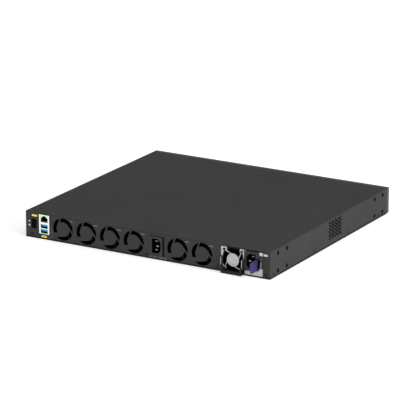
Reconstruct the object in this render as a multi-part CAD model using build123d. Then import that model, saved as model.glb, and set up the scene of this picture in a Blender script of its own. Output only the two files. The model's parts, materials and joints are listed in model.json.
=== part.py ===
"""A one-unit, 19-inch-class network switch with rear fans and a hot-swap power module.

Frame: +Z is up and the base's underside is Z = 0. The rear panel faces +Y, the port side
faces -Y, and the origin is the middle of the underside. Millimetres throughout.

Everything on the rear panel is placed by (u, z): u runs along the panel from its left end
as seen from behind, and z is the height above the underside.
"""
import os
from math import acos, cos, degrees, radians, sin

from build123d import *

# ---------------------------------------------------------------- driving dimensions
WIDTH = 440.0            # chassis, side to side
DEPTH = 400.0            # front bezel face to rear panel face
HEIGHT = 43.2            # underside to top
SHEET = 1.0              # steel sheet of the tray and the cover
BEND = 1.2               # outer radius of a folded edge
GAP = 0.3                # clearance between neighbouring pieces
BEZEL = 8.0              # front bezel, front to back
SEAM = 0.35              # open line between the cover's skirt and the tray's floor

FAN = 40.0               # chassis fan, square
FAN_DEEP = 28.0
FAN_Z = 22.1
FAN_PITCH = 43.3
FAN_PLACES = [69.6 + FAN_PITCH * n for n in range(4)] + [278.4 + FAN_PITCH * n for n in range(2)]
VENT_OUTER = 18.4        # pinwheel slots in front of each fan
VENT_INNER = 11.8
VENT_SHIFT = (-0.4, -0.2)            # the slots' middle from the fan's middle
VENT_LEAVES = (39.0, -81.0, 159.0)   # where each slot's straight edge leaves the inner circle
VENT_STRIPS = (2.4, 2.4, 6.9)        # web between a slot's blunt end and the edge before it

SIDE_HOLE_STEP = 28.0    # rack-bracket holes: a square of this side
SIDE_HOLE_Y = (160.5, -163.0)
SIDE_HOLE_Z = 22.0
SIDE_HOLE_R = 3.5
NUT_BORE_R = 1.65        # M4 thread core
NUT_OUTER_R = 4.4
NUT_THICK = 2.4
SCREW_Y = (188.8, 58.0, -57.6, -162.6)
SCREW_Z = 5.7
SCREW_HEAD_R = 2.5
SIDE_VENT_STEP_Y = 4.65  # half the column pitch of the side lattice
SIDE_VENT_STEP_Z = 5.4
SIDE_VENT_R = 2.2
SIDE_VENT_Y = -12.2      # middle of the lattice
SIDE_VENT_Z = 25.3

STACK_U = (25.0, 44.1)   # stacked network jack over two USB sockets
STACK_Z = (8.9, 40.4)
STACK_HOLE_U = (23.3, 45.6)
STACK_HOLE_Z = (7.7, 41.1)
STACK_OUT = 0.6
STACK_DEEP = 28.0
JACK_U = (28.5, 41.0)
JACK_Z = (28.4, 34.6)
JACK_DOME = (
    (28.9, 34.5),
    (29.1, 35.3),
    (30.9, 35.5),
    (31.3, 37.2),
    (32.9, 38.3),
    (36.3, 38.3),
    (37.8, 37.2),
    (38.3, 35.5),
    (40.4, 35.3),
    (40.6, 34.5),
)
LINK_LAMP_U = (26.8, 38.9)
LINK_LAMP_W = 3.6
LINK_LAMP_Z = (36.0, 39.1)
USB_U = (28.4, 41.0)
USB_Z = ((18.5, 24.6), (10.5, 16.6))

CONSOLE_U = (10.0, 20.4)
CONSOLE_Z = (15.7, 31.5)
LAMP_U = 6.8
LAMP_Z = (26.8, 20.2)
REAR_SCREWS = (11.5, 222.7, 348.6, 433.0)
REAR_SCREW_Z = 6.0

INLET_W = 16.0           # mains inlet mouth
INLET_H = 24.0
INLET_CHAMFER = 5.0
INLET_WALL = 1.4
INLET_DEEP = 20.0
INLET_MOUTH = 17.0
INLET_UZ = (239.6, 21.6)
INLET_HOLE_U = (228.5, 253.7)
INLET_HOLE_Z = (6.5, 37.9)
INLET_PLATE_U = (228.8, 250.9)       # the flange leaves a gap above and to its right
INLET_PLATE_Z = (6.8, 36.6)
INLET_FACE = 0.0
BLADE_W = 4.0
BLADE_T = 2.0
LIVE_SET = 3.5           # blade tips sit this far inside the mouth
EARTH_SET = 0.6
BLADE_SPREAD = 7.0
BLADE_PLACES = ((-1.6, BLADE_SPREAD), (-1.6, -BLADE_SPREAD), (2.4, 0.0))

BAY_U = (353.8, 427.95)  # power-module bay
BAY_Z = (1.6, 42.2)
MOD_U = (354.15, 427.65)
MOD_Z = (1.95, 41.3)
MOD_FACE = 0.4           # the module's face sits this far in from the rear panel
MOD_LONG = 184.0
MOD_SHEET = 0.8
MOD_FAN = 38.4
MOD_FAN_UZ = (375.8, 21.5)
MOD_INLET_UZ = (406.6, 23.7)
MOD_INLET_W = 16.2
MOD_LAMPS = ((410.4, 5.5), (415.2, 7.9))
GUARD_DISC_R = 10.5
GUARD_LEFT = [
    (354.9, 36.0),
    (355.0, 27.5),
    (357.2, 25.8),
    (357.2, 12.4),
    (358.2, 12.4),
    (358.2, 28.2),
    (360.4, 35.0),
    (361.0, 36.0),
]
EAR_U = ((357.2, 358.2), (393.6, 394.6))
EAR_Z = (12.4, 25.5)
EAR_OUT = 6.2
HANDLE_U = (358.5, 393.3)
HANDLE_OUT = (1.5, 8.5)  # the bar's back and front, out from the rear panel's face
HANDLE_Z = (0.4, 4.4)
HANDLE_ARM = 1.3
HANDLE_PIVOT_Z = 14.4
HANDLE_PIVOT_OUT = 4.3   # from the rear panel's face to the handle's pivot
LATCH_U = (416.6, 418.9)
LATCH_Z = (11.2, 28.6)
LATCH_OUT = 20.8
LATCH_PIVOT_IN = 50.0

BOARD_Z = (4.0, 5.6)     # main board
BOARD_FRONT = -188.0
PORT_PITCH = 14.75       # one cage column
PORT_W = 14.0
PORT_H = 8.9
PORT_DEEP = 48.0
PORT_ROWS = (7.0, 20.2)  # floor of the lower and the upper port row
CAGE_X = (-92.0, -24.0)
CAGE_Z = (5.8, 29.9)
WIDE_PORT_W = 18.8
WIDE_PORT_X = (36.0, 60.0)
LAMP_ROW_Z = 34.2
RESET_X = 112.0
RESET_Z = 14.0

HALF_W = WIDTH / 2
HALF_D = DEPTH / 2
CORE_FRONT = -HALF_D + BEZEL    # front end of the tray and the cover
REAR = Plane(origin=(HALF_W, HALF_D, 0), x_dir=(-1, 0, 0), z_dir=(0, 1, 0))


# ---------------------------------------------------------------- drawing helpers
def block(x, y, z):
    """A box from its limits along X, Y and Z."""
    middle = Pos((x[0] + x[1]) / 2, (y[0] + y[1]) / 2, (z[0] + z[1]) / 2)
    return middle * Box(abs(x[1] - x[0]), abs(y[1] - y[0]), abs(z[1] - z[0]))


def prism(outline, start, end):
    """Extrude a (u, z) outline from start to end millimetres in from the rear face."""
    return extrude(REAR.offset(-start) * outline, amount=start - end)


def pane(u, z, radius=0.0):
    """A rectangle on the rear panel from its (u, z) limits, with rounded corners if asked."""
    width = u[1] - u[0]
    height = z[1] - z[0]
    place = Pos((u[0] + u[1]) / 2, (z[0] + z[1]) / 2)
    if radius > 0:
        return place * RectangleRounded(width, height, radius)
    return place * Rectangle(width, height)


def rear_block(u, z, start, end):
    """A box behind (or, for negative start, in front of) the rear face."""
    return prism(pane(u, z), start, end)


def rod_x(radius, x, y, z):
    """A round bar along X."""
    return Pos((x[0] + x[1]) / 2, y, z) * Rot(0, 90, 0) * Cylinder(radius, abs(x[1] - x[0]))


def rod_y(radius, x, y, z):
    """A round bar along Y."""
    return Pos(x, (y[0] + y[1]) / 2, z) * Rot(90, 0, 0) * Cylinder(radius, abs(y[1] - y[0]))


def rod_z(radius, x, y, z):
    """A round bar along Z."""
    return Pos(x, y, (z[0] + z[1]) / 2) * Cylinder(radius, abs(z[1] - z[0]))


def at_u(u):
    """The X of a place u millimetres along the rear panel."""
    return HALF_W - u


def grow(limits, by):
    """Limits widened by the same amount at both ends."""
    return (limits[0] - by, limits[1] + by)


def save(name, shape):
    """Write one named piece, or one group of separate solids, as its own file."""
    solids = list(shape) if isinstance(shape, (list, tuple)) else [shape]
    body = solids[0] if len(solids) == 1 else Compound(children=[s for s in solids])
    body.label = name
    export_step(body, f"parts/{name}.step")


# ---------------------------------------------------------------- shared patterns
def vent_slot(leave, strip):
    """One crescent: a slanted blunt end, a concentric inner edge, then straight off to a rim tip."""
    before = leave + 120
    reach = VENT_INNER - strip
    inner_start = before - degrees(acos(reach / VENT_INNER))
    outer_start = before - degrees(acos(reach / VENT_OUTER))
    tip = leave - degrees(acos(VENT_INNER / VENT_OUTER))

    def on(radius, angle):
        return (radius * cos(radians(angle)), radius * sin(radians(angle)))

    edges = [
        CenterArc((0, 0), VENT_INNER, leave, inner_start - leave),
        Line(on(VENT_INNER, leave), on(VENT_OUTER, tip)),
        CenterArc((0, 0), VENT_OUTER, tip, outer_start - tip),
        Line(on(VENT_OUTER, outer_start), on(VENT_INNER, inner_start)),
    ]
    return make_face(Curve() + edges)


def fan_vent():
    """The three crescents of one vent."""
    return [vent_slot(leave, strip) for leave, strip in zip(VENT_LEAVES, VENT_STRIPS)]


def side_vents():
    """Middles (y, z) of the staggered vent lattice, the same on both sides."""
    places = []
    for column in range(-4, 5):
        rows = 6 if column % 2 == 0 else 5
        for row in range(rows):
            height = SIDE_VENT_Z + (row - (rows - 1) / 2) * SIDE_VENT_STEP_Z
            places.append((SIDE_VENT_Y + column * SIDE_VENT_STEP_Y, height))
    return places


def bracket_holes():
    """Middles (y, z) of the rack-bracket holes of one side."""
    half = SIDE_HOLE_STEP / 2
    return [
        (middle + dy, SIDE_HOLE_Z + dz)
        for middle in SIDE_HOLE_Y
        for dy in (-half, half)
        for dz in (-half, half)
    ]


# ---------------------------------------------------------------- tray, cover and bezel
def port_windows(margin, start, end):
    """Boxes that clear the front ports, from start to end along Y."""
    half_cage = 2 * PORT_PITCH + 0.3 + margin
    windows = [block((x - half_cage, x + half_cage), (start, end), grow(CAGE_Z, margin)) for x in CAGE_X]
    half_wide = WIDE_PORT_W / 2 + 0.9 + margin
    low = grow((CAGE_Z[0], PORT_ROWS[0] + PORT_H + 1.0), margin)
    windows += [block((x - half_wide, x + half_wide), (start, end), low) for x in WIDE_PORT_X]
    return windows


def front_vent_places():
    """Middles (x, z) of the round intake holes in the tray's front wall."""
    places = []
    for first, last in ((-206.0, -130.0), (134.0, 206.0)):
        columns = int((last - first) / 6.0) + 1
        for column in range(columns):
            rows = 6 if column % 2 == 0 else 5
            places += [
                (first + column * 6.0, 22.0 + (row - (rows - 1) / 2) * 6.0) for row in range(rows)
            ]
    return places


def lamp_places():
    """Middles (x, z) of the front lamp light pipes."""
    columns = [x + (n - 1.5) * PORT_PITCH + side for x in CAGE_X for n in range(4) for side in (-2.4, 2.4)]
    return [(x, LAMP_ROW_Z) for x in columns + list(WIDE_PORT_X)] + [(RESET_X, 22.0), (RESET_X, 29.0)]


def base_tray():
    """Floor, screw flanges, pierced front wall and the rear panel, folded from one sheet."""
    floor = block((-HALF_W, HALF_W), (CORE_FRONT, HALF_D), (0, SHEET))
    rear = block((-HALF_W, HALF_W), (HALF_D - SHEET, HALF_D), (0, HEIGHT - SHEET - 0.25))
    tray = floor + rear
    tray = fillet(tray.edges().filter_by(Axis.X).sort_by(Axis.Z)[:2].sort_by(Axis.Y)[-1], SHEET * 0.9)
    front = block((-HALF_W + 1.6, HALF_W - 1.6), (CORE_FRONT, CORE_FRONT + SHEET), (0, HEIGHT - SHEET - GAP))
    intake = [rod_y(2.3, x, (CORE_FRONT - 1, CORE_FRONT + 2), z) for x, z in front_vent_places()]
    pipes = [rod_y(1.3, x, (CORE_FRONT - 1, CORE_FRONT + 2), z) for x, z in lamp_places()]
    reset = [rod_y(1.9, RESET_X, (CORE_FRONT - 1, CORE_FRONT + 2), RESET_Z)]
    front = front - intake - pipes - reset - port_windows(0.4, CORE_FRONT - 1, CORE_FRONT + 2)
    tray += front
    outer = HALF_W - SHEET - GAP
    for side in (-1, 1):
        flange = block((side * (outer - SHEET), side * outer), (CORE_FRONT + 2, HALF_D - 2), (0, 12.0))
        for y, z in bracket_holes():
            if z < SIDE_HOLE_Z:
                flange -= rod_x(NUT_OUTER_R + 0.7, (side * 210, side * 225), y, z)
        for y in SCREW_Y:
            flange -= rod_x(1.55, (side * 210, side * 225), y, SCREW_Z)
        tray += flange
    cuts = []
    for u in FAN_PLACES:
        cuts += [prism(Pos(u + VENT_SHIFT[0], FAN_Z + VENT_SHIFT[1]) * slot, -1, SHEET + 1) for slot in fan_vent()]
    cuts.append(rear_block(STACK_HOLE_U, STACK_HOLE_Z, -1, SHEET + 1))
    cuts.append(prism(pane(CONSOLE_U, CONSOLE_Z, 2.6), -1, SHEET + 1))
    cuts += [rod_y(1.6, at_u(LAMP_U), (HALF_D - 2, HALF_D + 1), z) for z in LAMP_Z]
    cuts.append(rear_block(INLET_HOLE_U, INLET_HOLE_Z, -1, SHEET + 1))
    cuts.append(rear_block(BAY_U, BAY_Z, -1, SHEET + 1))
    cuts += [rod_y(1.6, at_u(u), (HALF_D - 2, HALF_D + 1), REAR_SCREW_Z) for u in REAR_SCREWS]
    return tray - cuts


def top_cover():
    """Top and both sides, folded from one sheet, open at the front, the back and below."""
    long_y = (CORE_FRONT, HALF_D)
    outer = block((-HALF_W, HALF_W), long_y, (SHEET + SEAM, HEIGHT))
    outer = fillet(outer.edges().filter_by(Axis.Y).sort_by(Axis.Z)[-2:], BEND)
    inner_x = (-HALF_W + SHEET, HALF_W - SHEET)
    cover = outer - block(inner_x, grow(long_y, 1), (0, HEIGHT - SHEET))
    cover -= block((-HALF_W - 1, HALF_W + 1), (HALF_D - SHEET - 0.1, HALF_D + 1), (0, HEIGHT - SHEET))
    holes = [rod_x(SIDE_VENT_R, (-HALF_W - 1, HALF_W + 1), y, z) for y, z in side_vents()]
    holes += [rod_x(SIDE_HOLE_R, (-HALF_W - 1, HALF_W + 1), y, z) for y, z in bracket_holes()]
    holes += [rod_x(SCREW_HEAD_R + 0.1, (-HALF_W - 1, HALF_W + 1), y, SCREW_Z) for y in SCREW_Y]
    return cover - holes


def front_bezel():
    """Moulded frame over the whole front, with port windows and intake slots."""
    y = (-HALF_D, CORE_FRONT - GAP)
    bezel = block((-HALF_W, HALF_W), y, (0.4, HEIGHT))
    bezel = fillet(bezel.edges().filter_by(Axis.Y), 1.0)
    bezel -= block((-HALF_W + 2, HALF_W - 2), (-HALF_D + 2.4, y[1] + 1), (2.4, HEIGHT - 2))
    bezel -= port_windows(0.35, -HALF_D - 1, y[1] + 1)
    slots = []
    for first, last in ((-206.0, -134.0), (136.0, 206.0)):
        for n in range(int((last - first) / 6.0) + 1):
            slot = Rot(90, 0, 0) * extrude(SlotOverall(31.0, 3.4, rotation=90), amount=3, both=True)
            slots.append(Pos(first + 6.0 * n, -HALF_D + 1, 22.0) * slot)
    slots += [rod_y(1.15, x, (-HALF_D - 1, -HALF_D + 3), z) for x, z in lamp_places()]
    slots.append(rod_y(1.9, RESET_X, (-HALF_D - 1, -HALF_D + 3), RESET_Z))
    return bezel - slots


def side_screws():
    """Flat-head screws low on both sides, through the cover into the tray's flanges."""
    screws = []
    for side in (-1, 1):
        for y in SCREW_Y:
            head = rod_x(SCREW_HEAD_R, (side * (HALF_W - 0.9), side * (HALF_W - 0.1)), y, SCREW_Z)
            slot = block((side * (HALF_W - 0.5), side * HALF_W), grow((y, y), 1.6), grow((SCREW_Z, SCREW_Z), 0.35))
            shank = rod_x(1.4, (side * (HALF_W - 6), side * (HALF_W - 0.8)), y, SCREW_Z)
            screws.append(head - slot + shank)
    return screws


def rear_screws():
    """Four round-head screws low on the rear panel."""
    screws = []
    for u in REAR_SCREWS:
        head = rod_y(2.3, at_u(u), (HALF_D, HALF_D + 0.7), REAR_SCREW_Z)
        head -= block(grow((at_u(u), at_u(u)), 1.5), (HALF_D + 0.35, HALF_D + 1), grow((REAR_SCREW_Z,) * 2, 0.3))
        screws.append(head + rod_y(1.4, at_u(u), (HALF_D - 3.5, HALF_D), REAR_SCREW_Z))
    return screws


def rack_nuts():
    """Clinch nuts pressed against the inside of both side walls, behind the bracket holes."""
    nuts = []
    for side in (-1, 1):
        inner = side * (HALF_W - SHEET)
        deep = inner - side * NUT_THICK
        for y, z in bracket_holes():
            nuts.append(rod_x(NUT_OUTER_R, (deep, inner), y, z) - rod_x(NUT_BORE_R, (deep - side, inner + side), y, z))
    return nuts


# ---------------------------------------------------------------- fans
def fan_frame(size):
    """Square fan frame with a round duct, rear struts and a stator round its bearing tube.

    Drawn with its axis along Y and its outlet face at Y = 0, reaching back to -FAN_DEEP.
    """
    duct = size / 2 - 1.0
    frame = block((-size / 2, size / 2), (-FAN_DEEP, 0), (-size / 2, size / 2))
    frame = fillet(frame.edges().filter_by(Axis.Y), 2.4)
    frame -= rod_y(duct, 0, (-FAN_DEEP - 1, 1), 0)
    corner = size / 2 - 4.0
    frame -= [rod_y(1.7, x, (-FAN_DEEP - 1, 1), z) for x in (-corner, corner) for z in (-corner, corner)]
    strut = block((9.0, duct + 0.4), (-2.2, -0.2), (-0.9, 0.9))
    struts = [Rot(0, 35 + 90 * n, 0) * strut for n in range(4)]
    plate = rod_y(10.4, 0, (-2.2, -0.2), 0)
    stator = rod_y(8.0, 0, (-17, -3.4), 0) + rod_y(2.8, 0, (-21, -2), 0)
    inside = plate + struts + stator - rod_y(1.05, 0, (-22, -2.4), 0)
    return frame + inside


def fan_rotor(size):
    """Impeller: a cup over the stator, seven pitched blades and a shaft in the bearing tube."""
    tip = size / 2 - 1.7
    cup = rod_y(10.4, 0, (-26.4, -4.0), 0)
    blade = Pos(12.4, -15.0, 0) * Rot(40, 0, 0) * Box(11.6, 16.0, 1.3)
    blades = [Rot(0, 360 / 7 * n, 0) * blade for n in range(7)]
    whole = cup + [b & rod_y(tip, 0, (-FAN_DEEP, -3), 0) for b in blades]
    whole -= rod_y(9.0, 0, (-24.6, -3.0), 0)
    return whole + rod_y(1.0, 0, (-25.0, -4.2), 0)


def chassis_fan_place(u):
    """Where a chassis fan sits, just behind the rear panel."""
    return Pos(at_u(u), HALF_D - SHEET - 1.2, FAN_Z)


def fan_tray(places):
    """Folded tray under and in front of a row of fans, pierced for the air."""
    u = (places[0] - FAN / 2 - 1.2, places[-1] + FAN / 2 + 1.2)
    deep = SHEET + 1.2 + FAN_DEEP
    tray = rear_block(u, (SHEET + 0.1, SHEET + 0.8), SHEET + GAP, deep + 1.6)
    wall = rear_block(u, (SHEET + 0.1, 40.0), deep + 0.6, deep + 1.6)
    middles = [at_u(place) for place in places]
    wall -= [rod_y(FAN / 2 - 1.0, x, (HALF_D - deep - 3, HALF_D - deep), FAN_Z) for x in middles]
    return tray + wall


# ---------------------------------------------------------------- rear connectors
def dome_face(grown):
    """The stepped upper part of the network jack's mouth, widened by a margin."""
    points = [(u + grown * (1 if u > 35 else -1), z + (grown if z > 35 else 0)) for u, z in JACK_DOME]
    return make_face(Polyline(points + points[:1]))


def lamp_panes(margin):
    """The two link lamp windows, widened by a margin."""
    return [pane(grow((u, u + LINK_LAMP_W), margin), grow(LINK_LAMP_Z, margin)) for u in LINK_LAMP_U]


def stack_shield():
    """Folded bright shield of the stacked jack: a shell with three mouths in its face."""
    shell = rear_block(STACK_U, STACK_Z, -STACK_OUT, STACK_DEEP)
    hollow_z = (STACK_Z[0] - 1, STACK_Z[1] - 0.5)
    shell -= rear_block(grow(STACK_U, -0.5), hollow_z, 0.5 - STACK_OUT, STACK_DEEP - 0.5)
    mouths = [pane(grow(JACK_U, 0.2), (JACK_Z[0] - 0.2, JACK_Z[1])), dome_face(0.2)]
    mouths += [pane(grow(USB_U, 0.1), grow(z, 0.1)) for z in USB_Z]
    return shell - [prism(mouth, -2, 0.6) for mouth in mouths + lamp_panes(0.1)]


def stack_insert():
    """Black moulding inside the shield with the jack and USB cavities."""
    front = 0.8 - STACK_OUT
    insert = rear_block(grow(STACK_U, -0.8), (STACK_Z[0] + 0.1, STACK_Z[1] - 0.8), front, STACK_DEEP - 0.8)
    insert -= rear_block(JACK_U, JACK_Z, -1, 16)
    insert -= prism(dome_face(0), -1, 16)
    insert -= [rear_block(USB_U, z, -1, 12) for z in USB_Z]
    return insert - [prism(window, -1, 20) for window in lamp_panes(0)]


def jack_contacts():
    """Eight spring wires slanting across the roof of the network jack's lower wall."""
    wires = []
    for n in range(8):
        u = sum(JACK_U) / 2 + (n - 3.5) * 1.02
        wires.append(rear_block((u - 0.18, u + 0.18), (29.2, 29.55), 2.5, 13))
    return wires


def usb_tongues():
    """The two blue contact carriers in the upper half of each USB mouth."""
    return [rear_block((29.4, 40.3), (z[0] + 2.7, z[0] + 5.6), 1.0, 12.0) for z in USB_Z]


def stack_lights():
    """Two link lamp windows in the shield's top corners."""
    return [prism(window, 0.1 - STACK_OUT, 19) for window in lamp_panes(-0.1)]


def console_bezel():
    """Black cup behind the rear panel that holds the upright console socket."""
    cup = prism(pane(grow(CONSOLE_U, 1.2), grow(CONSOLE_Z, 1.2), 3.4), SHEET + 0.05, 9)
    cup -= prism(pane(grow(CONSOLE_U, -0.2), grow(CONSOLE_Z, -0.2), 2.4), 0, 2.6)
    return cup - prism(pane((13.35, 17.05), (18.85, 28.35), 1.8), 0, 12)


def console_shell():
    """Drawn steel shell of the console socket."""
    shell = prism(pane((13.5, 16.9), (19.0, 28.2), 1.65), 2.0, 12)
    return shell - prism(pane((13.85, 16.55), (19.35, 27.85), 1.3), 1.0, 11)


def console_tongue():
    """Contact tongue in the middle of the console socket."""
    return rear_block((14.85, 15.55), (20.2, 27.0), 2.6, 11.3)


def status_lenses():
    """Two small lamp lenses, domed a little past the panel."""
    return [rod_y(1.45, at_u(LAMP_U), (HALF_D - 4, HALF_D + 0.5), z) for z in LAMP_Z]


def inlet_mouth(width, height, chamfer_side):
    """Mains inlet mouth in (u, z) about its middle; two corners are cut on one side."""
    cut = INLET_CHAMFER
    half_w = width / 2
    half_h = height / 2
    points = [
        (-half_w, -half_h),
        (half_w - cut, -half_h),
        (half_w, -half_h + cut),
        (half_w, half_h - cut),
        (half_w - cut, half_h),
        (-half_w, half_h),
    ]
    if chamfer_side < 0:
        points = [(-u, z) for u, z in reversed(points)]
    return make_face(Polyline(points + points[:1]))


def inlet_blades(place, chamfer_side, start):
    """Three flat blades with bevelled tips: two live ones in line and the longer earth blade."""
    blades = []
    for step, height in BLADE_PLACES:
        middle = place[0] + chamfer_side * step
        u = grow((middle, middle), BLADE_W / 2)
        z = grow((place[1] + height,) * 2, BLADE_T / 2)
        tip = start + (LIVE_SET if height else EARTH_SET)
        blade = rear_block(u, z, tip, start + INLET_DEEP + 4)
        blades.append(chamfer(blade.faces().sort_by(Axis.Y)[-1].edges(), 0.6))
    return blades


def blade_slots(place, chamfer_side, start):
    """Fitted slots through the inlet's floor for its blades."""
    slots = []
    for step, height in BLADE_PLACES:
        middle = place[0] + chamfer_side * step
        u = grow((middle, middle), BLADE_W / 2 + 0.02)
        z = grow((place[1] + height,) * 2, BLADE_T / 2 + 0.02)
        slots.append(rear_block(u, z, start + INLET_MOUTH - 1, start + INLET_DEEP + 1))
    return slots


def ac_inlet():
    """Fixed mains inlet: a flange level with the panel, with a deep socket."""
    start = INLET_FACE
    body = rear_block(INLET_PLATE_U, INLET_PLATE_Z, start, start + 2.2)
    shroud = inlet_mouth(INLET_W + 2 * INLET_WALL, INLET_H + 2 * INLET_WALL, 1)
    body += prism(Pos(*INLET_UZ) * shroud, start, start + INLET_DEEP)
    body -= prism(Pos(*INLET_UZ) * inlet_mouth(INLET_W, INLET_H, 1), start - 1, start + INLET_MOUTH)
    return body - blade_slots(INLET_UZ, 1, start)


def ac_wires():
    """Three insulated mains wires from the inlet's blades to the fixed supply."""
    start = INLET_FACE + INLET_DEEP + 4.1
    wires = []
    for step, height in BLADE_PLACES:
        x = at_u(INLET_UZ[0] + step)
        wires.append(rod_y(1.3, x, (HALF_D - start - 28, HALF_D - start), INLET_UZ[1] + height))
    return wires


# ---------------------------------------------------------------- boards and what is on them
def main_board():
    """Main circuit board, cut away for the supplies and the fans."""
    front = block((-212, 212), (BOARD_FRONT, 5), BOARD_Z)
    return front + block((35, 212), (4, 160), BOARD_Z)


def main_standoffs():
    """Standoffs between the tray's floor and the main board."""
    places = [(x, y) for x in (-200, -70, 70, 200) for y in (-170, -8)] + [(60, 140), (200, 110)]
    return [rod_z(3.0, x, y, (SHEET, BOARD_Z[0])) for x, y in places]


def management_board():
    """Small board under the rear connectors."""
    return block((at_u(47), at_u(6)), (100, HALF_D - 6), (7.2, 8.8))


def management_standoffs():
    """Standoffs under the management board."""
    front = [rod_z(2.5, x, 106, (BOARD_Z[1], 7.2)) for x in (180, 208)]
    return front + [rod_z(2.5, x, 190, (SHEET, 7.2)) for x in (180, 208)]


def switch_chip():
    """The switching chip's square package."""
    return block((-22.5, 22.5), (-92.5, -47.5), (BOARD_Z[1], BOARD_Z[1] + 3.4))


def heatsink(x, y, z, fins):
    """A finned heatsink: a base plate and upright fins that run along Y."""
    sink = block(x, y, (z[0], z[0] + 4.0))
    step = (x[1] - x[0] - 1.2) / (fins - 1)
    return sink + [block((x[0] + step * n, x[0] + step * n + 1.2), y, (z[0] + 3, z[1])) for n in range(fins)]


def board_capacitors():
    """Two rows of upright capacitors beside the chip."""
    return [rod_z(4.0, x, y, (BOARD_Z[1], 19.0)) for x in (-70, 72) for y in (-100, -88, -76, -64, -52)]


def port_cage(x):
    """A ganged cage: four columns of ports, two high, open to the front."""
    half = 2 * PORT_PITCH + 0.3
    y = (-HALF_D + 0.2, -HALF_D + PORT_DEEP + 6)
    cage = block((x - half, x + half), y, CAGE_Z)
    for n in range(4):
        middle = x + (n - 1.5) * PORT_PITCH
        for floor in PORT_ROWS:
            cage -= block(grow((middle, middle), PORT_W / 2), (y[0] - 1, y[0] + PORT_DEEP), (floor, floor + PORT_H))
    return cage


def wide_cage(x):
    """A single cage for one wide port."""
    y = (-HALF_D + 0.2, -HALF_D + PORT_DEEP + 16)
    half = WIDE_PORT_W / 2
    cage = block((x - half - 0.8, x + half + 0.8), y, (CAGE_Z[0], PORT_ROWS[0] + PORT_H + 0.9))
    return cage - block((x - half, x + half), (y[0] - 1, y[0] + PORT_DEEP + 8), (PORT_ROWS[0], PORT_ROWS[0] + PORT_H))


def light_pipes():
    """Clear rods that carry the lamps' light to the bezel."""
    return [rod_y(1.0, x, (-HALF_D + 0.1, CORE_FRONT + 6), z) for x, z in lamp_places()]


def reset_switch():
    """Switch body behind the front wall, bored for its button."""
    body = block(grow((RESET_X, RESET_X), 4), (CORE_FRONT + 2, CORE_FRONT + 10), (BOARD_Z[1] + 0.1, RESET_Z + 4))
    return body - rod_y(1.65, RESET_X, (CORE_FRONT + 1, CORE_FRONT + 8), RESET_Z)


def reset_button():
    """Round button that stops just behind the bezel's face."""
    return rod_y(1.6, RESET_X, (-HALF_D + 0.6, CORE_FRONT + 6.5), RESET_Z)


# ---------------------------------------------------------------- fixed supply
def supply_case():
    """Folded case of the fixed supply, open towards the fans."""
    case = block((-120, 25), (15, 150), (SHEET + 0.3, 40))
    return case - block((-119, 24), (16, 151), (SHEET + 1.3, 39))


def supply_board():
    """The fixed supply's own circuit board."""
    return block((-117, 22), (18, 146), (5.0, 6.6))


def supply_transformer():
    """Transformer and choke of the fixed supply."""
    return [block((-70, -34), (60, 100), (6.7, 33)), block((-20, 4), (60, 84), (6.7, 28))]


# ---------------------------------------------------------------- power-module bay
def bay_guide():
    """Sheet guide that the power module slides in, with feet and a pierced end wall."""
    y0 = HALF_D - SHEET - GAP
    y1 = 9.0
    x_in = (at_u(BAY_U[0] - 0.3), at_u(BAY_U[0] - 1.1))
    x_out = (at_u(BAY_U[1] + 1.1), at_u(BAY_U[1] + 0.3))
    z = (SHEET + 0.1, 41.9)
    guide = block(x_in, (y1, y0), z) + block(x_out, (y1, y0), z)
    guide += block((x_in[1], x_in[1] + 4.5), (y1, y0), (z[0], z[0] + 0.8))
    guide += block((x_out[0] - 4.5, x_out[0]), (y1, y0), (z[0], z[0] + 0.8))
    end = block((x_out[0], x_in[1]), (y1, y1 + 0.8), z)
    end -= block((at_u(412.6), at_u(369.4)), (y1 - 1, y1 + 2), (5.0, 15.0))
    end -= [rod_y(3.2, x, (y1 - 1, y1 + 2), z) for x in range(-200, -138, 9) for z in (20, 29)]
    return guide + end


def bay_socket():
    """Board socket that the module's gold-finger tongue enters."""
    socket = block((at_u(412), at_u(370)), (-3.5, 12.0), (BOARD_Z[1] + 0.1, 14.2))
    return socket - block((at_u(410.4), at_u(371.6)), (3.0, 13.0), (7.9, 10.1))


# ---------------------------------------------------------------- hot-swap power module
def module_case():
    """The module's steel case: a box with an open fan bay and a pierced face plate."""
    start = MOD_FACE
    end = MOD_FACE + MOD_LONG
    case = rear_block(MOD_U, MOD_Z, start, end)
    case -= rear_block(grow(MOD_U, -MOD_SHEET), grow(MOD_Z, -MOD_SHEET), start + MOD_SHEET, end - MOD_SHEET)
    case -= rear_block((MOD_U[0] + MOD_SHEET, 395.2), grow(MOD_Z, -0.3), start - 1, start + 2)
    mouth = Pos(*MOD_INLET_UZ) * inlet_mouth(MOD_INLET_W, INLET_H, -1)
    case -= prism(mouth, start - 1, start + 2)
    case -= rear_block((416.3, 422.3), (LATCH_Z[0] - 0.7, LATCH_Z[1] + 0.7), start - 1, start + 2)
    case -= rear_block((399.3, 421.0), (40.0, MOD_Z[1] + 1), start - 1, start + 3)
    case -= rear_block((371.4, 410.6), (7.7, 10.3), end - 2, end + 1)
    half_fan = MOD_FAN / 2 + 0.1
    fan_u = grow((MOD_FAN_UZ[0],) * 2, half_fan)
    case -= rear_block(fan_u, grow((MOD_FAN_UZ[1],) * 2, half_fan), start - 1, start + FAN_DEEP + 1)
    back = [rod_y(3.0, x, (HALF_D - end - 1, HALF_D - end + 2), z) for x in range(-200, -138, 9) for z in (20, 29)]
    return case - back


def module_board():
    """The module's board with the gold-finger tongue that reaches out of the case."""
    end = MOD_FACE + MOD_LONG
    board = rear_block((356.5, 425.5), (8.2, 9.8), 34, end - 1.2)
    board += rear_block((372, 410), (8.2, 9.8), end - 2, end + 10)
    return board - rod_z(1.5, at_u(sum(LATCH_U) / 2), HALF_D - LATCH_PIVOT_IN, (8, 10))


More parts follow.
